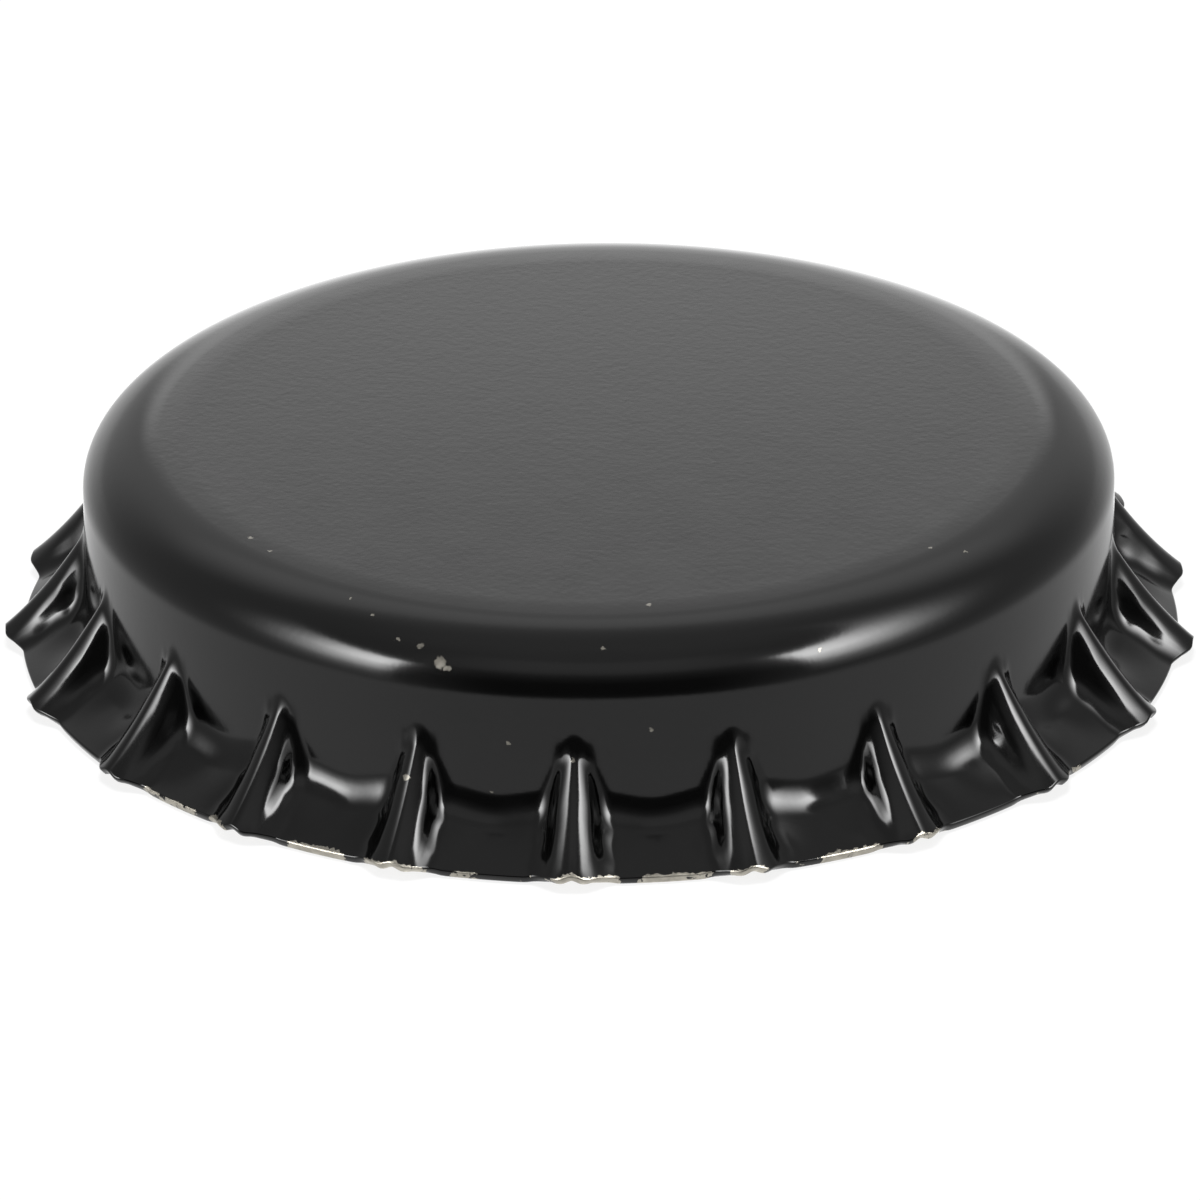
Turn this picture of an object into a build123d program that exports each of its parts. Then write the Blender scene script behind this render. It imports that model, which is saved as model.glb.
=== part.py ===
from build123d import *
from math import cos, radians, sin, tan
import os

# Pry-off bottle cap for a 26 mm bottle mouth, as stamped and lined, before it is crimped on.
# Millimetres, +Z up. The cap stands on its rim at z = 0 and the Z axis is its axis.

# Stamped shell: one disc of thin sheet, drawn into a shallow cup with a fluted skirt
cap_height = 5.9
sheet = 0.24
wall_inner_radius = 13.375
corner_radius = 1.7
rim_radius = 16.0
flute_count = 21

# Lips: the wide bays of the skirt, turned out nearly flat between the ribs
lip_angle = 11
lip_bend_radius = 0.5

# Ribs: the narrow folds that run straight from the wall out to the rim
rib_head_height = 2.8
rib_end_height = 0.45
rib_crest_radius = 0.45
rib_flank_angle = 53

# Scallops: the rim draws in where each fold uses up its sheet
scallop_depth = 0.3
scallop_radius = 1.0

# Moulded liner: a thin disc with a thick ring that the mouth of the bottle sinks into
liner_disc_thickness = 0.25
seal_edge_gap = 0.475
seal_width = 2.1
seal_thickness = 0.85
seal_bevel = 0.3

# How far the shapes that are cut away run past the sheet
overrun = 2.0

wall_radius = wall_inner_radius + sheet
corner_centre = Vector(wall_radius - corner_radius, cap_height - corner_radius)
inner_corner_flat_angle = 30
rim_edge_height = sheet * cos(radians(lip_angle))
lip_rise = (rim_radius - wall_radius) * tan(radians(lip_angle))
bend_height = rim_edge_height + lip_rise

rib_head = Vector(wall_radius, 0, rib_head_height)
rib_end = Vector(rim_radius - scallop_depth, 0, rib_end_height)
rib_down = (rib_end - rib_head).normalized()
rib_outward = Vector(-rib_down.Z, 0, rib_down.X)

seal_outer_radius = wall_inner_radius - seal_edge_gap


def toward(angle):
    """Unit vector at an angle in degrees from the first axis."""
    return Vector(cos(radians(angle)), sin(radians(angle)))


def bend_offset(depth):
    """How far the corner of the bend moves down when the wall and the lip move in by a depth."""
    return depth * tan(radians(90 - lip_angle) / 2)


def cup_profile(depth, corner):
    """Half section of the cup below its corner's points, moved in by a depth, and where it bends."""
    bend = Vector(wall_radius - depth, bend_height - bend_offset(depth))
    lip_end = bend + toward(-lip_angle) * (rim_radius - wall_radius + overrun)
    lower = [bend, lip_end, (lip_end.X, -overrun), (0, -overrun), (0, cap_height - depth)]
    return make_face(Polyline(*corner, *lower, close=True)), bend


def corner_vertex(face, point):
    """The vertex of a profile that lies at a point."""
    return face.vertices().sort_by_distance((point.X, point.Y, 0))[0]


def inner_cup_profile():
    """Half section of the room inside the sheet, with flats in its corner that touch the true arc."""
    reach = (corner_radius - sheet) / cos(radians(inner_corner_flat_angle / 2))
    middles = [inner_corner_flat_angle * (step + 0.5) for step in (2, 1, 0)]
    return cup_profile(sheet, [corner_centre + toward(angle) * reach for angle in middles])


def rib_profile(crest):
    """Section of one rib, with two straight flanks below the line of its crest."""
    foot = crest @ 0 + toward(-rib_flank_angle) * overrun
    flanks = Polyline(crest @ 0, foot, (-foot.X, foot.Y), crest @ 1)
    return make_face([crest, flanks])


def with_ribs(cup, rib_section):
    """The cup revolved, with a straight bar of the rib's section laid under each crest."""
    start = Plane(origin=rib_head - rib_down * overrun, x_dir=rib_outward.cross(rib_down), z_dir=rib_down)
    bar = extrude(start * rib_section, overrun + (rib_end - rib_head).length + overrun, dir=rib_down)
    ribs = [Rot(0, 0, 360 * i / flute_count) * bar for i in range(flute_count)]
    return revolve(Plane.XZ * cup, Axis.Z) + ribs


def outer_form():
    """Solid bounded by the outer side of the sheet, with its corner, bend and crests rounded."""
    corner = Vector(wall_radius, cap_height)
    cup, bend = cup_profile(0, [corner])
    cup = fillet(corner_vertex(cup, corner), corner_radius)
    cup = fillet(corner_vertex(cup, bend), lip_bend_radius)
    crest = CenterArc((0, -rib_crest_radius), rib_crest_radius, 90 - rib_flank_angle, 2 * rib_flank_angle)
    return with_ribs(cup, rib_profile(crest))


def inner_form():
    """Solid bounded by the inner side of the sheet, with one flat across its bend and each crest."""
    cup, bend = inner_cup_profile()
    bend_angle = radians(90 - lip_angle)
    inner_bend_radius = lip_bend_radius + sheet
    flat = inner_bend_radius * (tan(bend_angle / 2) - tan(bend_angle / 4))
    cup = chamfer(corner_vertex(cup, bend), flat)
    half_crest = (rib_crest_radius - sheet) * tan(radians(rib_flank_angle) / 2)
    return with_ribs(cup, rib_profile(Line((half_crest, -sheet), (-half_crest, -sheet))))


def rim_form():
    """What lies inside the cut edge: square to the lips, and drawn in at each rib."""
    edge = Vector(rim_radius, rim_edge_height)
    square = toward(90 - lip_angle)
    lower = edge - square * sheet
    upper = edge + square * overrun
    above = cap_height + overrun
    outline = Polyline((0, 0), lower, upper, (upper.X, above), (0, above), close=True)
    disc = revolve(Plane.XZ * make_face(outline), Axis.Z)
    scallop = Pos(rim_radius - scallop_depth + scallop_radius, 0, 0) * Cylinder(scallop_radius, cap_height)
    return disc - [Rot(0, 0, 360 * i / flute_count) * scallop for i in range(flute_count)]


def cap_shell():
    """The stamped sheet: what lies between its outer and inner side, inside its cut edge."""
    return (outer_form() & rim_form()) - inner_form()


def sealing_liner():
    """The liner, moulded against the inside of the shell's top and corner."""
    room, bend = inner_cup_profile()
    ceiling = cap_height - sheet
    disc = Rectangle(seal_outer_radius, liner_disc_thickness, align=(Align.MIN, Align.MAX))
    ring = Rectangle(seal_width, seal_thickness, align=(Align.MAX, Align.MAX))
    ring = chamfer(ring.vertices().group_by(Axis.Y)[0], seal_bevel)
    blank = Pos(0, ceiling) * disc + Pos(seal_outer_radius, ceiling) * ring
    return revolve(Plane.XZ * (blank & room), Axis.Z)


os.makedirs("parts", exist_ok=True)
for name, shape in {"cap_shell": cap_shell(), "sealing_liner": sealing_liner()}.items():
    shape.label = name
    export_step(shape, f"parts/{name}.step")
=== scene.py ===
from math import cos, pi, radians, sin, tan

import bmesh
import bpy
import numpy as np
from mathutils import Matrix, Vector


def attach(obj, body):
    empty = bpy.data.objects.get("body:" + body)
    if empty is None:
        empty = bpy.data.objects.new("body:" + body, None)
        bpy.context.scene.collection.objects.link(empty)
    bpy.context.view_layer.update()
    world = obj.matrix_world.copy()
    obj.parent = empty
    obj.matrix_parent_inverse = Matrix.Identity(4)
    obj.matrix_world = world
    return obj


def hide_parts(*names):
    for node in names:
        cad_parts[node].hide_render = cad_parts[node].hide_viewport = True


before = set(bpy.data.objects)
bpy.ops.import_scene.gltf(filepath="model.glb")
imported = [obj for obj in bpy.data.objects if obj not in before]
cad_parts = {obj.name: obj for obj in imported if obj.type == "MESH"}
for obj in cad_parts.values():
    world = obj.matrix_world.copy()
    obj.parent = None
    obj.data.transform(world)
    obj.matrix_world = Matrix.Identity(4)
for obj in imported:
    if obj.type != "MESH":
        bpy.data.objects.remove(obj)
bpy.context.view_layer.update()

# One millimetre in metres. Every other length below is in millimetres, unless a comment says metres
MM = 0.001

# Cup: its height, sheet and wall, and its corner, which is wider than it is high
HEIGHT = 5.9
SHEET = 0.24
WALL = 13.615
CORNER_WIDTH = 2.05
CORNER_HEIGHT = 1.42
FLUTES = 21

# Lips between the ribs, and the bend where they leave the wall, which rises beside each rib
LIP_ANGLE = radians(26.5)
LIP_END_RADIUS = 15.35
BEND_HEIGHT = 1.08
BEND_RISE = 0.22
BEND_HOLLOW = 0.5
RISE_STARTS_ACROSS = 2.1
RISE_ENDS_ACROSS = 0.7
RISE_FADES_OUT = (0.2, 1.7)

# Crest of a rib: where it would meet the wall, its first slope, how it levels out, and where it ends
CREST_START = 3.15
CREST_SLOPE = 1.6
CREST_LEVELLING = 0.17
RIB_END_RADIUS = 15.8
RIB_END_WIDTHS = (0.25, 1.15)

# Section of a rib: a blunt crest, sloping shoulders, and flanks that are steeper at the wall than at the rim
CREST_RADIUS = 0.26
SHOULDER_SLOPE = 0.68
SHOULDER_WIDTH = 0.44
SHOULDER_BLEND = 0.06
CREST_LIFT = 0.003
FLANK_SLOPE = 3.2
RIM_FLANK_SLOPE = 1.5
FLANK_EASES_OUT = (0.8, 1.5)

# Width of a rib's section at its head, and how it spreads there and again towards the rim
HEAD_SPREAD = 0.95
SPREADS_BY = 0.2
HEAD_SPREADS_OUT = (0.1, 0.8)
RIM_SPREADS_OUT = (0.7, 2.3)

# Hollow at the foot of a rib, which is tighter round its head
FOOT_HOLLOW = 0.42
HEAD_TIGHTER_BY = 0.26
HEAD_HEIGHTS = (1.5, 2.6)

# Cut edge, a little rounded at its two corners: depths in the sheet, and how far each stands out
CUT_EDGE = [(0.0, -0.035), (0.03, -0.008), (0.08, 0.0), (0.16, 0.0), (0.215, -0.004), (SHEET, -0.02)]

# Mesh of one flute: columns across from the crest at one radius, and rows on the top, corner and skirt
COLUMNS_ACROSS = [
    0, 0.07, 0.14, 0.21, 0.28, 0.36, 0.45, 0.54, 0.64, 0.74, 0.84, 0.94, 1.03, 1.12, 1.21, 1.3, 1.4, 1.53,
    1.7, 1.93]
COLUMNS_RADIUS = 14.6
TOP_RADII = (4.0, 8.0, 10.8)
CORNER_STEPS = 14
SKIRT_ROWS = 62
INNER_EVERY = 3
FAR_FROM_EDGE = 20

# The pressing is a little uneven below the corner
UNEVENNESS = 0.03
UNEVENNESS_PER_METRE = 260.0
UNEVEN_HEIGHTS = (2.6, 4.4)
JOIN_WITHIN = 0.001

# Liner: its gap to the sheet, its disc with a low bead, and its thick ring with rounded edges
LINER_GAP = 0.03
LINER_CORNER = 1.43
LINER_DISC = 0.25
LINER_BEAD = [(9.4, 0.0), (9.3, 0.03), (9.0, 0.03), (8.9, 0.0)]
RING_RADIUS = 12.9
RING_WIDTH = 2.1
RING_THICKNESS = 0.85
RING_ROUND = 0.28
RING_FOOT_HOLLOW = 0.2
LINER_SEGMENTS = 168

# Where the cut edge is worn bare: two angles about the axis in degrees, and how far from 0 to 1
WORN_PATCHES = [
    (-132, -126.5, 0.7), (-123, -122, 0.95), (-113.5, -109.5, 0.95), (-105, -101, 0.9), (-96.5, -95.5, 0.7),
    (-86.5, -82, 0.85), (-78.5, -73, 0.8), (-70.3, -68.3, 0.85), (-60.3, -56, 0.85), (-51.5, -50, 0.85),
    (-31, -30, 0.7)]
WEAR_BETWEEN = 0.5
PATCH_FADES_OVER = 1.8
WEAR_ENDS_AFTER = 3.0

# How much lacquer wear must take off before metal shows, and how much two sizes of unevenness give
LACQUER_HOLDS = 0.25
RAGGED_WEAR = 0.42
FINE_WEAR = 0.36

# Flecks on the lacquer, the first two of which make one chip: where each lies, and how large it is
FLECKS = [
    (-2.46, -13.17, 5.10, 0.18), (-2.26, -13.28, 5.03, 0.12), (-2.99, -12.78, 5.40, 0.1),
    (-0.68, -13.6, 3.16, 0.08), (1.69, -12.79, 5.57, 0.07), (2.96, -13.29, 3.55, 0.07),
    (2.64, -10.82, 5.90, 0.09), (1.01, -13.75, 2.83, 0.07), (-1.14, -13.57, 1.70, 0.06),
    (-5.05, -11.07, 5.85, 0.06), (-4.39, -11.78, 5.74, 0.06), (-3.62, -12.55, 5.46, 0.06),
    (9.44, -6.65, 5.90, 0.08), (10.35, -6.6, 5.83, 0.06), (-8.12, -7.81, 5.90, 0.08),
    (-7.49, -8.55, 5.90, 0.07), (-3.26, -13.84, 2.15, 0.12), (7.09, -11.38, 5.08, 0.07)]
FLECK_RAGGEDNESS = 0.22
FLECK_BARENESS = 0.5

# The photograph was taken from here, in degrees, and from this far away
PHOTO_AZIMUTH = 7.23
PHOTO_ELEVATION = 25.3
PHOTO_DISTANCE = 342.0
PHOTO_ROLL = -0.62
PHOTO_FOCAL_PIXELS = 12880.0
PHOTO_FRAME = 1200.0
PHOTO_AIM_HEIGHT = 0.85
SENSOR_WIDTH = 36.0

# What the gloss reflects: by the rise above level in degrees, how bright it is ahead, beside and behind
SEEN_AHEAD = [
    (-90, 0.78), (-45, 0.74), (-24.7, 0.68), (-22, 0.36), (-20, 0.14), (-15, 0.07), (-8, 0.05), (15, 0.05),
    (20, 0.08), (25, 0.1), (30, 0.15), (35, 0.22), (41, 0.38), (50, 0.52), (60, 0.54), (70, 0.42), (90, 0.42)]
SEEN_BESIDE = [
    (-90, 0.78), (-25, 0.75), (-18, 0.6), (-8, 0.42), (35, 0.32), (60, 0.34), (75, 0.42), (90, 0.45)]
SEEN_BEHIND = [
    (-90, 0.8), (-25, 0.85), (-5, 1.0), (6, 0.9), (12, 0.62), (30, 0.56), (40, 0.8), (47, 0.85), (55, 0.62),
    (63, 0.46), (75, 0.42), (90, 0.45)]

# Bearings in degrees, to either side of the camera, over which one of these turns into the next
AHEAD_TO_BESIDE = (20.0, 62.0)
BESIDE_TO_BEHIND = (122.0, 166.0)
BRIGHT_BEHIND_FROM = (168.0, 176.0)
BRIGHT_BEHIND_UP_TO = (22.6, 25.4)
BRIGHT_BEHIND = 0.95

# Soft boxes: side, rise of the top edge, degrees over which it fades to the side, and brightness
SOFT_BOXES = [(-1.0, 34.0, 16.0, 14.5), (1.0, 44.0, 23.5, 15.0)]
BOX_BEARING = 47.0
BOX_EDGE = (-3.5, 2.0)
BOX_TOP_SLOPE = 0.35
BOX_LEVELS = [
    (-6, 0), (-3, 0.03), (0, 0.4), (5, 0.95), (10, 1), (16, 0.78), (22, 0.55), (28, 0.32), (34, 0.14),
    (42, 0.05), (54, 0)]

# Plain light on what isn't a reflection: the sky, and one round lamp overhead in metres and watts
SKY_STRENGTH = 0.45
LAMP_WIDTH = 0.12
LAMP_HEIGHT = 0.3
LAMP_POWER = 0.55

# Ground: half its width in metres, its tone, its glow to the camera, and how far that covers its shadow
GROUND_HALF = 0.6
GROUND_TONE = 0.8
GROUND_GLOW = 1.12
GROUND_GLOW_SHARE = 0.75


# Small helpers for node trees

def linear(code):
    """Linear colour of an sRGB hex code."""
    parts = [int(code[i:i + 2], 16) / 255 for i in (1, 3, 5)]
    return (*[c / 12.92 if c <= 0.04045 else ((c + 0.055) / 1.055) ** 2.4 for c in parts], 1.0)


def add(tree, kind, *inputs, **settings):
    """A new node with its settings, and its inputs by order or, in a dict, by name: values or sockets."""
    node = tree.nodes.new(kind)
    for name, value in settings.items():
        setattr(node, name, value)
    pairs = []
    for place, value in enumerate(inputs):
        pairs += list(value.items()) if isinstance(value, dict) else [(place, value)]
    for key, value in pairs:
        if isinstance(value, bpy.types.NodeSocket):
            tree.links.new(value, node.inputs[key])
        else:
            node.inputs[key].default_value = value
    return node


def maths(tree, operation, *values):
    """The result of a Math node."""
    return add(tree, "ShaderNodeMath", *values, operation=operation).outputs[0]


def vector_maths(tree, operation, *values):
    """The vector that a Vector Math node gives."""
    return add(tree, "ShaderNodeVectorMath", *values, operation=operation).outputs["Vector"]


def apart(tree, operation, first, second):
    """The value that a Vector Math node gives for two vectors."""
    return add(tree, "ShaderNodeVectorMath", first, second, operation=operation).outputs["Value"]


def scaled(tree, vector, scale):
    """A vector times a value."""
    return vector_maths(tree, "SCALE", {0: vector, "Scale": scale})


def smooth_step(tree, value, low, high, at_low=0.0, at_high=1.0):
    """Goes smoothly from one value to another between two limits."""
    inputs = {"Value": value, "From Min": low, "From Max": high, "To Min": at_low, "To Max": at_high}
    return add(tree, "ShaderNodeMapRange", inputs, interpolation_type="SMOOTHSTEP").outputs[0]


def curve_of(tree, value, points):
    """A value read from a smooth curve through points, each an input and its result."""
    low, high = points[0][0], points[-1][0]
    top = max(result for _, result in points)
    place = add(tree, "ShaderNodeMapRange", {"Value": value, "From Min": low, "From Max": high}).outputs[0]
    node = add(tree, "ShaderNodeFloatCurve", {"Value": place})
    curve = node.mapping.curves[0]
    while len(curve.points) < len(points):
        curve.points.new(0.5, 0.5)
    for point, (x, y) in zip(curve.points, points):
        point.location = ((x - low) / (high - low), y / top)
        point.handle_type = "AUTO_CLAMPED"
    node.mapping.update()
    return maths(tree, "MULTIPLY", node.outputs[0], top)


def noise_of(tree, place, scale, detail=2.0):
    """Noise with that many features to the unit of its place."""
    return add(tree, "ShaderNodeTexNoise", {"Vector": place, "Scale": scale, "Detail": detail}).outputs[0]


def shift_of(tree, place, scale, detail):
    """A vector of noise about zero with that many features to the unit of its place."""
    inputs = {"Vector": place, "Scale": scale, "Detail": detail}
    noise = add(tree, "ShaderNodeTexNoise", inputs).outputs["Color"]
    return vector_maths(tree, "SUBTRACT", noise, (0.5, 0.5, 0.5))


def about(tree, value, noise, amount):
    """A value plus so much of a noise."""
    return maths(tree, "ADD", value, maths(tree, "MULTIPLY", noise, amount))


def mixed(tree, share, first, second):
    """Two colours mixed."""
    return add(tree, "ShaderNodeMix", {0: share, 6: first, 7: second}, data_type="RGBA").outputs[2]


def between(tree, share, first, second):
    """Two values mixed."""
    return add(tree, "ShaderNodeMix", {0: share, 2: first, 3: second}).outputs[0]


def in_scene(name, data):
    """A new object in the scene."""
    made = bpy.data.objects.new(name, data)
    bpy.context.scene.collection.objects.link(made)
    return made


# Form of the pressed sheet

def joined(a, b, hollow):
    """Distance to two forms joined, with a hollow where they meet."""
    near = hollow - np.hypot(np.maximum(hollow - a, 0), np.maximum(hollow - b, 0))
    return np.where(np.maximum(a, b) < hollow, near, np.minimum(a, b))


def ramp(value, low, high):
    """Goes smoothly from 0 to 1 between two limits."""
    t = np.clip((value - low) / (high - low), 0, 1)
    return t * t * (3 - 2 * t)


def rib_drop(across, flank):
    """How far the outer side of a rib lies below its crest, and how steeply it falls there."""
    blunt = SHOULDER_SLOPE ** 2 * CREST_RADIUS
    shoulder = np.hypot(blunt, SHOULDER_SLOPE * across)
    past = np.hypot(across - SHOULDER_WIDTH, SHOULDER_BLEND)
    drop = shoulder - blunt + flank / 2 * (across - SHOULDER_WIDTH + past) - CREST_LIFT
    slope = SHOULDER_SLOPE ** 2 * across / shoulder + flank / 2 * (1 + (across - SHOULDER_WIDTH) / past)
    return drop, slope


def skirt_distance(x, y, z):
    """Distance outwards from the outer side of the skirt, near a rib whose crest lies on the first axis."""
    out = np.hypot(x, y) - WALL
    beside = 1 - ramp(np.abs(y), RISE_ENDS_ACROSS, RISE_STARTS_ACROSS)
    bend = BEND_HEIGHT + BEND_RISE * beside * (1 - ramp(out, *RISE_FADES_OUT))
    lip = (z - bend + out * tan(LIP_ANGLE)) * cos(LIP_ANGLE)
    cup = joined(out, lip, BEND_HOLLOW)
    run = x - WALL
    fall = CREST_SLOPE - 2 * CREST_LEVELLING * run
    crest = (z - CREST_START + CREST_SLOPE * run - CREST_LEVELLING * run ** 2) / np.hypot(1, fall)
    spread = HEAD_SPREAD + SPREADS_BY * ramp(out, *HEAD_SPREADS_OUT)
    spread += SPREADS_BY * ramp(out, *RIM_SPREADS_OUT)
    flank = FLANK_SLOPE + (RIM_FLANK_SLOPE - FLANK_SLOPE) * ramp(out, *FLANK_EASES_OUT)
    drop, slope = rib_drop(np.abs(y) / spread, flank)
    rib = (crest + drop) / np.hypot(1, slope / spread)
    return joined(cup, rib, FOOT_HOLLOW - HEAD_TIGHTER_BY * ramp(z, *HEAD_HEIGHTS))


def find_zero(function, low, high, halvings=44):
    """Where a rising function crosses zero, by halving."""
    for _ in range(halvings):
        middle = (low + high) / 2
        above = function(middle) > 0
        low, high = np.where(above, low, middle), np.where(above, middle, high)
    return (low + high) / 2


def rim_radius(angle):
    """Radius of the cut edge, which stands out at the end of each rib."""
    across = np.abs(RIB_END_RADIUS * np.sin(angle))
    return RIB_END_RADIUS - (RIB_END_RADIUS - LIP_END_RADIUS) * ramp(across, *RIB_END_WIDTHS)


def outward(points, step=0.001):
    """Unit normals of the skirt's outer side."""
    slopes = []
    for axis in np.eye(3) * step:
        ahead, behind = points + axis, points - axis
        change = skirt_distance(*np.moveaxis(ahead, -1, 0)) - skirt_distance(*np.moveaxis(behind, -1, 0))
        slopes.append(change)
    normal = np.stack(slopes, -1)
    return normal / np.linalg.norm(normal, axis=-1, keepdims=True)


def flute_angles():
    """Angles of the columns over one flute, closest together over the flanks and feet of the rib."""
    half_pitch = pi / FLUTES
    half = [width / COLUMNS_RADIUS for width in COLUMNS_ACROSS] + [half_pitch]
    return np.array([-angle for angle in reversed(half[1:])] + half)


def top_and_corner_rows(around, up):
    """Rows of points and normals on the flat top and round the corner, down to where the wall begins."""
    rows = [(around * radius + up * HEIGHT, np.tile(up, (len(around), 1))) for radius in TOP_RADII]
    flat = WALL - CORNER_WIDTH
    wall_top = HEIGHT - CORNER_HEIGHT
    for step in range(CORNER_STEPS + 1):
        turn = radians(90 * (1 - step / CORNER_STEPS))
        normal = around * cos(turn) * CORNER_HEIGHT + up * sin(turn) * CORNER_WIDTH
        normal /= np.linalg.norm(normal, axis=-1, keepdims=True)
        point = around * (flat + CORNER_WIDTH * cos(turn)) + up * (wall_top + CORNER_HEIGHT * sin(turn))
        rows.append((point, normal))
    return rows


def skirt_rows(angles):
    """Rows of points and normals from the top of the wall to the cut edge.

    Each point is found along a line at 45 degrees to the axis, which crosses the wall, the bend, the lips and
    the ribs alike, so that a row is named by where its lines start and meets the sheet only once.
    """
    cosines, sines = np.cos(angles), np.sin(angles)
    start = -(HEIGHT - CORNER_HEIGHT)
    last_out = rim_radius(angles) - WALL
    last_z = find_zero(lambda z: skirt_distance((WALL + last_out) * cosines, (WALL + last_out) * sines, z),
                       np.full_like(angles, -1.0), np.full_like(angles, 4.0))
    end = last_out - last_z
    rows = []
    for step in range(1, SKIRT_ROWS + 1):
        share = step / SKIRT_ROWS
        along = start + (end - start) * share
        out = find_zero(lambda a: skirt_distance((WALL + a) * cosines, (WALL + a) * sines, a - along),
                        np.full_like(angles, -0.5), np.full_like(angles, 4.0))
        points = np.stack([(WALL + out) * cosines, (WALL + out) * sines, out - along], -1)
        rows.append((points, outward(points)))
    return rows


def sheet_rows():
    """Rows of points over one flute, with how far each lies from the cut edge, and whether it is inside.

    They run from the middle of the top out and down, round the cut edge, and back inside to the middle.
    """
    angles = flute_angles()
    around = np.stack([np.cos(angles), np.sin(angles), np.zeros_like(angles)], -1)
    up = np.array([0, 0, 1.0])
    outer = top_and_corner_rows(around, up) + skirt_rows(angles)
    at_edge = np.zeros(len(angles))
    gaps = [np.linalg.norm(b[0] - a[0], axis=-1) for a, b in zip(outer, outer[1:])]
    from_edge = [np.sum(gaps[i:], axis=0) for i in range(len(gaps))] + [at_edge]
    rows = [(points, distances, 0) for (points, _), distances in zip(outer[:-1], from_edge)]

    last, last_normal = outer[-1]
    ahead = last - outer[-2][0]
    ahead /= np.linalg.norm(ahead, axis=-1, keepdims=True)
    for depth, stands_out in CUT_EDGE:
        rows.append((last - last_normal * depth + ahead * stands_out, at_edge, 0))

    # The inside needs fewer rows: every third up the skirt, every second round the corner, all on the top
    top_end = len(TOP_RADII) - 1
    corner_end = len(TOP_RADII) + CORNER_STEPS
    kept = [*range(len(outer) - INNER_EVERY, corner_end, -INNER_EVERY), *range(corner_end, top_end, -2),
            *range(top_end, -1, -1)]
    for i in kept:
        points, normal = outer[i]
        rows.append((points - normal * SHEET, from_edge[i], 1))
    return rows


def flute_mesh():
    """One flute of the sheet, closed at its cut edge, with how far each point lies from that edge."""
    rows = sheet_rows()
    mesh = bmesh.new()
    distance_layer = mesh.verts.layers.float.new("edge_distance")
    skirt_layer = mesh.verts.layers.float.new("skirt")
    inside_layer = mesh.faces.layers.int.new("inside")
    grid = []
    for points, distances, _ in rows:
        line = []
        for point, distance in zip(points, distances):
            vert = mesh.verts.new(Vector(point) * MM)
            vert[distance_layer] = distance
            vert[skirt_layer] = float(1 - ramp(np.array(point[2]), *UNEVEN_HEIGHTS))
            line.append(vert)
        grid.append(line)
    top = mesh.verts.new((0, 0, HEIGHT * MM))
    ceiling = mesh.verts.new((0, 0, (HEIGHT - SHEET) * MM))
    for middle, line, is_inside in ((top, grid[0], False), (ceiling, grid[-1], True)):
        middle[distance_layer] = FAR_FROM_EDGE
        for a, b in zip(line, line[1:]):
            face = mesh.faces.new((middle, b, a) if is_inside else (middle, a, b))
            face[inside_layer] = int(is_inside)
    for (_, _, inside), line, below in zip(rows, grid, grid[1:]):
        for j in range(len(line) - 1):
            face = mesh.faces.new((line[j], below[j], below[j + 1], line[j + 1]))
            face[inside_layer] = inside
    data = bpy.data.meshes.new("flute")
    mesh.to_mesh(data)
    mesh.free()
    return data


def round_the_axis():
    """Node tree that sets a flute round the axis, joins the flutes and lets the pressing vary a little."""
    tree = bpy.data.node_groups.new("flutes_round_the_axis", "GeometryNodeTree")
    kinds = {
        "Geometry": "Geometry", "Flutes": "Int", "Join within": "Float", "Unevenness": "Float",
        "Unevenness per metre": "Float", "Outer finish": "Material", "Inner finish": "Material"}
    for name, kind in kinds.items():
        tree.interface.new_socket(name, in_out="INPUT", socket_type="NodeSocket" + kind)
    tree.interface.new_socket("Geometry", in_out="OUTPUT", socket_type="NodeSocketGeometry")
    given = add(tree, "NodeGroupInput").outputs

    # One flute at each of so many places, each turned by its share of the round
    places = add(tree, "GeometryNodeMeshLine", {"Count": given["Flutes"], "Offset": (0, 0, 0)}).outputs[0]
    turn = maths(tree, "DIVIDE", 2 * pi, given["Flutes"])
    turn = maths(tree, "MULTIPLY", turn, add(tree, "GeometryNodeInputIndex").outputs[0])
    angle = add(tree, "ShaderNodeCombineXYZ", {"Z": turn}).outputs[0]
    rotation = add(tree, "FunctionNodeEulerToRotation", {"Euler": angle}).outputs[0]
    ring_of = {"Points": places, "Instance": given["Geometry"], "Rotation": rotation}
    ring = add(tree, "GeometryNodeInstanceOnPoints", ring_of).outputs[0]
    whole = add(tree, "GeometryNodeRealizeInstances", {"Geometry": ring}).outputs[0]
    whole_of = {"Geometry": whole, "Distance": given["Join within"]}
    whole = add(tree, "GeometryNodeMergeByDistance", whole_of).outputs[0]

    # Unevenness of the pressing, which fades out towards the top
    position = add(tree, "GeometryNodeInputPosition").outputs[0]
    shift = shift_of(tree, position, given["Unevenness per metre"], 1.0)
    skirt = add(tree, "GeometryNodeInputNamedAttribute", {"Name": "skirt"}, data_type="FLOAT").outputs[0]
    offset = scaled(tree, shift, maths(tree, "MULTIPLY", skirt, given["Unevenness"]))
    whole = add(tree, "GeometryNodeSetPosition", {"Geometry": whole, "Offset": offset}).outputs[0]
    whole = add(tree, "GeometryNodeSetShadeSmooth", {"Geometry": whole}).outputs[0]

    outer = {"Geometry": whole, "Material": given["Outer finish"]}
    whole = add(tree, "GeometryNodeSetMaterial", outer).outputs[0]
    inside = add(tree, "GeometryNodeInputNamedAttribute", {"Name": "inside"}, data_type="INT").outputs[0]
    inner = {"Geometry": whole, "Selection": inside, "Material": given["Inner finish"]}
    whole = add(tree, "GeometryNodeSetMaterial", inner).outputs[0]
    add(tree, "NodeGroupOutput", {"Geometry": whole})
    return tree


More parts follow.
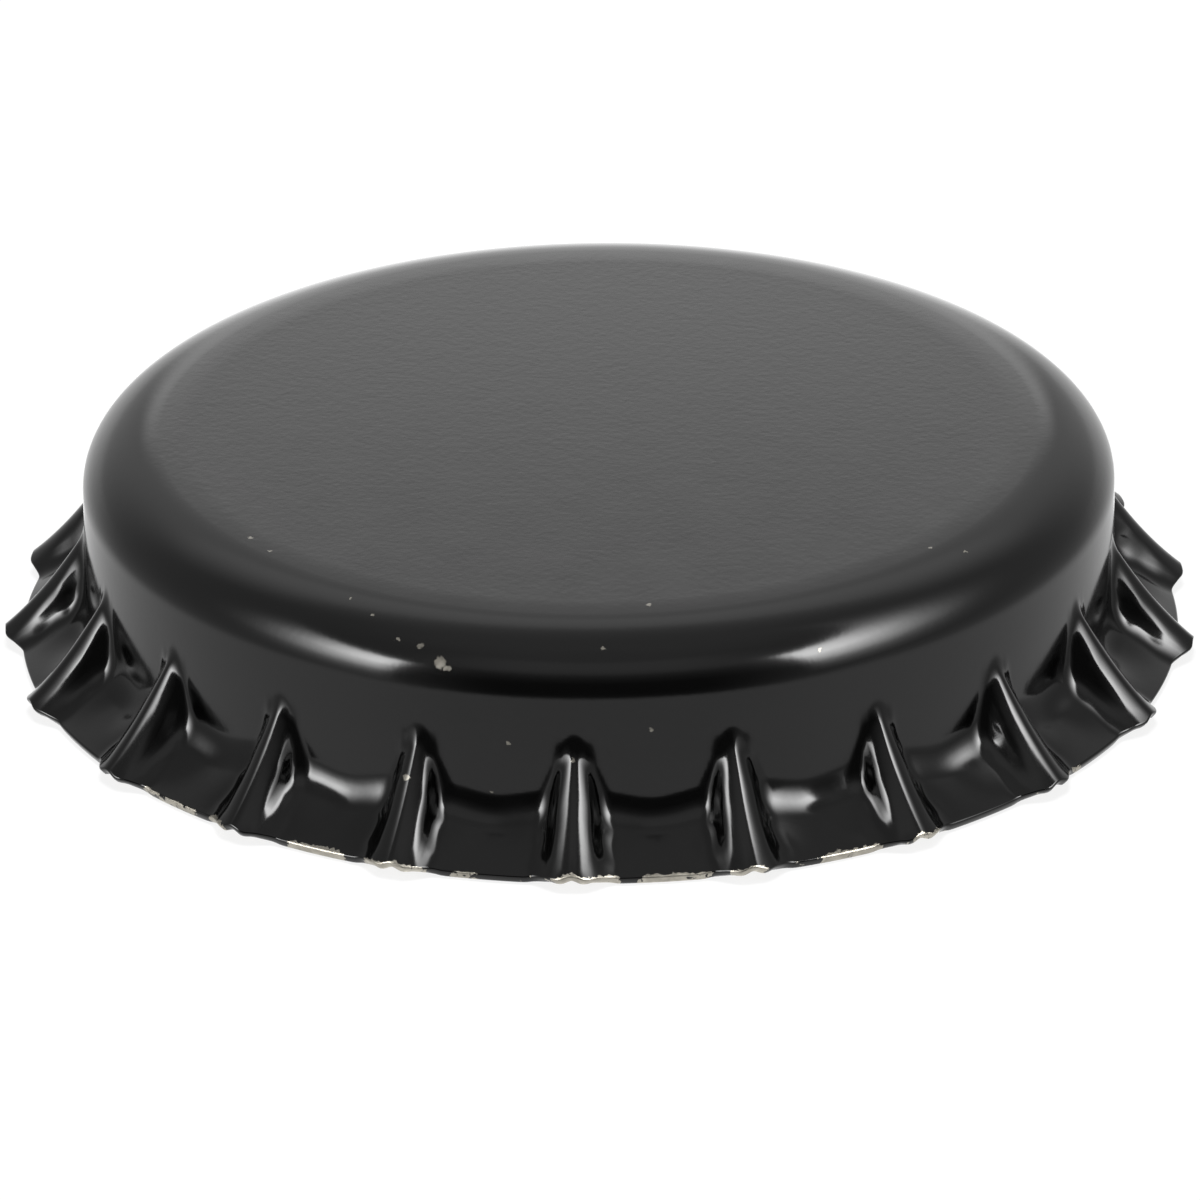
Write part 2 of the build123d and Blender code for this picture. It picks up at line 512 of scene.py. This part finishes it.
def through_nodes(name, mesh, tree, values):
    """The plain mesh that a node tree makes of a mesh, as a new object."""
    maker = in_scene(name + "_maker", mesh)
    modifier = maker.modifiers.new("nodes", "NODES")
    modifier.node_group = tree
    for item in tree.interface.items_tree:
        if item.in_out == "INPUT" and item.name in values:
            modifier[item.identifier] = values[item.name]
    graph = bpy.context.evaluated_depsgraph_get()
    result = bpy.data.meshes.new_from_object(maker.evaluated_get(graph))
    result.name = name
    maker.modifiers.remove(modifier)
    bpy.data.objects.remove(maker)
    return in_scene(name, result)


# Liner

def arc(centre_r, centre_z, size, degrees):
    """Points of the liner's section on an arc, at the given angles."""
    return [(centre_r + size * cos(radians(a)), centre_z + size * sin(radians(a))) for a in degrees]


def liner_outline():
    """Half section of the liner: a thin disc, and a thick ring with rounded edges."""
    ceiling = HEIGHT - SHEET - LINER_GAP
    bottom = ceiling - RING_THICKNESS
    inner_radius = RING_RADIUS - RING_WIDTH
    disc_bottom = ceiling - LINER_DISC
    beside_corner = arc(WALL - SHEET - LINER_GAP - LINER_CORNER, ceiling - LINER_CORNER, LINER_CORNER,
                        (90, 80, 70, 60, 52))
    beside_corner[-1] = (RING_RADIUS, beside_corner[-1][1])
    points = [(0.0, ceiling), *beside_corner]
    points += arc(RING_RADIUS - RING_ROUND, bottom + RING_ROUND, RING_ROUND, range(0, -91, -15))
    points += arc(inner_radius + RING_ROUND, bottom + RING_ROUND, RING_ROUND, range(-90, -181, -15))
    points += arc(inner_radius - RING_FOOT_HOLLOW, disc_bottom - RING_FOOT_HOLLOW, RING_FOOT_HOLLOW,
                  (0, 22, 45, 67, 90))
    points += [(radius, disc_bottom - stands_out) for radius, stands_out in LINER_BEAD]
    return points + [(0.0, disc_bottom)]


def liner_piece(finish):
    """The liner, turned about the axis."""
    mesh = bmesh.new()
    rings = []
    for radius, height in liner_outline():
        if radius == 0:
            rings.append([mesh.verts.new((0, 0, height * MM))])
            continue
        turns = [2 * pi * i / LINER_SEGMENTS for i in range(LINER_SEGMENTS)]
        around = [(radius * MM * cos(a), radius * MM * sin(a), height * MM) for a in turns]
        rings.append([mesh.verts.new(point) for point in around])
    for a, b in zip(rings, rings[1:]):
        for i in range(LINER_SEGMENTS):
            k = (i + 1) % LINER_SEGMENTS
            corners = [a[i % len(a)], b[i % len(b)], b[k % len(b)], a[k % len(a)]]
            mesh.faces.new(list(dict.fromkeys(corners)))
    bmesh.ops.recalc_face_normals(mesh, faces=mesh.faces)
    for face in mesh.faces:
        face.smooth = True
    data = bpy.data.meshes.new("liner")
    mesh.to_mesh(data)
    mesh.free()
    data.materials.append(finish)
    return in_scene("liner", data)


# Finishes. Their patterns are sized in features to the millimetre

def new_finish(name):
    """An empty material, its tree, its shader and object coordinates in millimetres."""
    finish = bpy.data.materials.new(name)
    finish.use_nodes = True
    tree = finish.node_tree
    tree.nodes.clear()
    shader = add(tree, "ShaderNodeBsdfPrincipled")
    add(tree, "ShaderNodeOutputMaterial", {"Surface": shader.outputs[0]})
    place = scaled(tree, add(tree, "ShaderNodeTexCoord").outputs["Object"], 1000.0)
    return finish, tree, shader, place


def worn_edge(tree, place):
    """How bare the cut edge is: worn in patches round the front, as far in as the wear there reaches."""
    edge = add(tree, "ShaderNodeAttribute", attribute_name="edge_distance").outputs["Fac"]
    split = add(tree, "ShaderNodeSeparateXYZ", place).outputs
    bearing = maths(tree, "DEGREES", maths(tree, "ARCTAN2", split[1], split[0]))
    points = [(WORN_PATCHES[0][0] - WEAR_ENDS_AFTER, 0.0)]
    for first, last, level in WORN_PATCHES:
        points += [(first - PATCH_FADES_OVER, WEAR_BETWEEN), (first, level)]
        points += [(last, level), (last + PATCH_FADES_OVER, WEAR_BETWEEN)]
    points.append((WORN_PATCHES[-1][1] + WEAR_ENDS_AFTER, 0.0))
    worn = curve_of(tree, bearing, points)
    ragged = maths(tree, "MULTIPLY", noise_of(tree, place, 2.6, 3.0), RAGGED_WEAR)
    fine = maths(tree, "MULTIPLY", noise_of(tree, place, 7.0), FINE_WEAR)
    reach = maths(tree, "MULTIPLY", maths(tree, "ADD", ragged, fine), worn)
    reach = maths(tree, "SUBTRACT", reach, LACQUER_HOLDS)
    return smooth_step(tree, maths(tree, "SUBTRACT", reach, edge), -0.01, 0.015)


def flecks(tree, place):
    """How much of a fleck covers the lacquer, each with a ragged outline."""
    shift = scaled(tree, shift_of(tree, place, 9.0, 2.0), FLECK_RAGGEDNESS)
    shifted = vector_maths(tree, "ADD", place, shift)
    cover = 0.0
    for *centre, size in FLECKS:
        away = apart(tree, "DISTANCE", shifted, tuple(centre))
        cover = maths(tree, "MAXIMUM", cover, smooth_step(tree, away, size * 0.6, size, 1.0, 0.0))
    return cover


def black_lacquer():
    """Gloss black lacquer rolled and baked on tinned steel.

    It is near black itself, so the eye reads it by what it reflects, over a faint peel about 0.2 mm wide.
    Bare metal shows pale and duller where the lacquer is gone.
    """
    finish, tree, shader, place = new_finish("black_gloss_lacquer_on_tinplate")
    marks = maths(tree, "MULTIPLY", flecks(tree, place), FLECK_BARENESS)
    bare = maths(tree, "MAXIMUM", worn_edge(tree, place), marks)
    metal = mixed(tree, noise_of(tree, place, 4.0), linear("#E2DDD0"), linear("#8F8A80"))
    tree.links.new(mixed(tree, bare, linear("#040404"), metal), shader.inputs["Base Color"])
    tree.links.new(bare, shader.inputs["Metallic"])
    rough = about(tree, 0.09, noise_of(tree, place, 0.8), 0.05)
    tree.links.new(about(tree, rough, bare, 0.28), shader.inputs["Roughness"])
    shader.inputs["IOR"].default_value = 1.5
    peel = {"Strength": 0.1, "Distance": 0.01 * MM, "Height": noise_of(tree, place, 5.0, 1.0)}
    tree.links.new(add(tree, "ShaderNodeBump", peel).outputs[0], shader.inputs["Normal"])
    return finish


def clear_varnish():
    """Clear varnish on tinned steel, inside the sheet: warm grey metal with a broad, soft shine."""
    finish, tree, shader, place = new_finish("clear_varnish_on_tinplate")
    tone = mixed(tree, noise_of(tree, place, 0.5, 3.0), linear("#C9C2B0"), linear("#B4AD9C"))
    tree.links.new(tone, shader.inputs["Base Color"])
    shader.inputs["Metallic"].default_value = 1.0
    tree.links.new(about(tree, 0.24, noise_of(tree, place, 3.0), 0.12), shader.inputs["Roughness"])
    return finish


def sealing_compound():
    """Soft moulded compound, pale and a little waxy, with no clear reflection in it."""
    finish, tree, shader, place = new_finish("pale_sealing_compound")
    tone = mixed(tree, noise_of(tree, place, 0.4, 3.0), linear("#E4E6E4"), linear("#D6D9D8"))
    tree.links.new(tone, shader.inputs["Base Color"])
    tree.links.new(about(tree, 0.42, noise_of(tree, place, 2.5), 0.14), shader.inputs["Roughness"])
    grain = {"Strength": 0.25, "Distance": 0.02 * MM, "Height": noise_of(tree, place, 7.0, 3.0)}
    tree.links.new(add(tree, "ShaderNodeBump", grain).outputs[0], shader.inputs["Normal"])
    return finish


# Studio

def photo_direction():
    """Level direction from the cap towards the photograph's camera."""
    turn = radians(PHOTO_AZIMUTH - 90)
    return Vector((cos(turn), sin(turn), 0))


def photo_camera():
    """The photograph's view, with its frame taken as square."""
    data = bpy.data.cameras.new("photo_view")
    data.sensor_width = SENSOR_WIDTH
    data.lens = PHOTO_FOCAL_PIXELS / PHOTO_FRAME * SENSOR_WIDTH
    data.clip_start = 0.01
    data.clip_end = 10
    camera = in_scene("photo_view", data)
    rise = radians(PHOTO_ELEVATION)
    away = photo_direction() * cos(rise) + Vector((0, 0, sin(rise)))
    camera.location = away * PHOTO_DISTANCE * MM
    aim = Vector((0, 0, PHOTO_AIM_HEIGHT * MM))
    look = (camera.location - aim).to_track_quat("Z", "Y").to_matrix().to_4x4()
    roll = Matrix.Rotation(radians(PHOTO_ROLL), 4, "Z")
    camera.matrix_world = Matrix.Translation(camera.location) @ look @ roll
    bpy.context.scene.camera = camera


def soft_box(tree, bearing, rise, side, top_at, fades_over, strength):
    """A soft box, brightest at its inner edge and just under its top edge, which slopes up to the side."""
    past = maths(tree, "SUBTRACT", maths(tree, "MULTIPLY", bearing, side), BOX_BEARING)
    top_edge = maths(tree, "ADD", maths(tree, "MULTIPLY", past, BOX_TOP_SLOPE), top_at)
    under = maths(tree, "SUBTRACT", top_edge, rise)
    fade = maths(tree, "DIVIDE", maths(tree, "MAXIMUM", past, 0.0), fades_over)
    fade = maths(tree, "EXPONENT", maths(tree, "MULTIPLY", maths(tree, "POWER", fade, 2.0), -0.5))
    level = maths(tree, "MULTIPLY", fade, curve_of(tree, under, BOX_LEVELS))
    within = maths(tree, "MULTIPLY", smooth_step(tree, past, *BOX_EDGE), level)
    return maths(tree, "MULTIPLY", within, strength)


def reflected(tree):
    """What the gloss shows: white behind and below, grey above, dark at the front horizon, two boxes."""
    direction = add(tree, "ShaderNodeTexCoord").outputs["Generated"]
    front = photo_direction()
    side = Vector((-front.y, front.x, 0))
    ahead = apart(tree, "DOT_PRODUCT", direction, front)
    right = apart(tree, "DOT_PRODUCT", direction, side)
    height = add(tree, "ShaderNodeSeparateXYZ", direction).outputs[2]
    rise = maths(tree, "DEGREES", maths(tree, "ARCSINE", height))
    bearing = maths(tree, "DEGREES", maths(tree, "ARCTAN2", right, ahead))
    turned = maths(tree, "ABSOLUTE", bearing)

    levels = (SEEN_AHEAD, SEEN_BESIDE, SEEN_BEHIND)
    before, beside, behind = [curve_of(tree, rise, points) for points in levels]
    around = between(tree, smooth_step(tree, turned, *AHEAD_TO_BESIDE), before, beside)
    around = between(tree, smooth_step(tree, turned, *BESIDE_TO_BEHIND), around, behind)
    low_behind = smooth_step(tree, rise, *BRIGHT_BEHIND_UP_TO, BRIGHT_BEHIND, 0.0)
    bright = maths(tree, "MULTIPLY", smooth_step(tree, turned, *BRIGHT_BEHIND_FROM), low_behind)
    around = maths(tree, "ADD", around, bright)
    left_box, right_box = [soft_box(tree, bearing, rise, *box) for box in SOFT_BOXES]
    return maths(tree, "ADD", around, maths(tree, "ADD", left_box, right_box))


def studio_light():
    """A plain sky and one lamp for the light, a studio for the gloss to reflect, and white for the view."""
    world = bpy.data.worlds.new("studio")
    bpy.context.scene.world = world
    world.use_nodes = True
    tree = world.node_tree
    tree.nodes.clear()
    path = add(tree, "ShaderNodeLightPath").outputs
    strength = between(tree, path["Is Glossy Ray"], SKY_STRENGTH, reflected(tree))
    strength = between(tree, path["Is Camera Ray"], strength, 1.0)
    sky = add(tree, "ShaderNodeBackground", {"Color": (1, 1, 1, 1), "Strength": strength}).outputs[0]
    add(tree, "ShaderNodeOutputWorld", {"Surface": sky})

    lamp = bpy.data.lights.new("overhead_soft_box", "AREA")
    lamp.shape = "DISK"
    lamp.size = LAMP_WIDTH
    lamp.energy = LAMP_POWER
    overhead = in_scene("overhead_soft_box", lamp)
    overhead.location = (0, 0, LAMP_HEIGHT)
    overhead.visible_glossy = False
    overhead.visible_camera = False


def white_ground():
    """Pale ground that shows white to the camera and keeps a soft shadow."""
    mesh = bpy.data.meshes.new("ground")
    size = GROUND_HALF
    corners = [(-size, -size, 0), (size, -size, 0), (size, size, 0), (-size, size, 0)]
    mesh.from_pydata(corners, [], [(0, 1, 2, 3)])
    finish = bpy.data.materials.new("white_paper")
    finish.use_nodes = True
    tree = finish.node_tree
    tree.nodes.clear()
    tone = (GROUND_TONE, GROUND_TONE, GROUND_TONE, 1)
    paper = add(tree, "ShaderNodeBsdfDiffuse", {"Color": tone}).outputs[0]
    glow = add(tree, "ShaderNodeEmission", {"Color": (1, 1, 1, 1), "Strength": GROUND_GLOW}).outputs[0]
    seen = add(tree, "ShaderNodeLightPath").outputs["Is Camera Ray"]
    share = maths(tree, "MULTIPLY", seen, GROUND_GLOW_SHARE)
    surface = add(tree, "ShaderNodeMixShader", share, paper, glow).outputs[0]
    add(tree, "ShaderNodeOutputMaterial", {"Surface": surface})
    mesh.materials.append(finish)
    ground = in_scene("ground", mesh)
    ground.visible_glossy = False
    return ground


shell = through_nodes("lacquered_shell", flute_mesh(), round_the_axis(), {
    "Flutes": FLUTES, "Join within": JOIN_WITHIN * MM, "Unevenness": UNEVENNESS * MM,
    "Unevenness per metre": UNEVENNESS_PER_METRE, "Outer finish": black_lacquer(),
    "Inner finish": clear_varnish()})
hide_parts("cap_shell")
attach(shell, "root")

liner = liner_piece(sealing_compound())
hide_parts("sealing_liner")
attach(liner, "root")

white_ground()
studio_light()
photo_camera()
bpy.context.scene.view_settings.view_transform = "Standard"
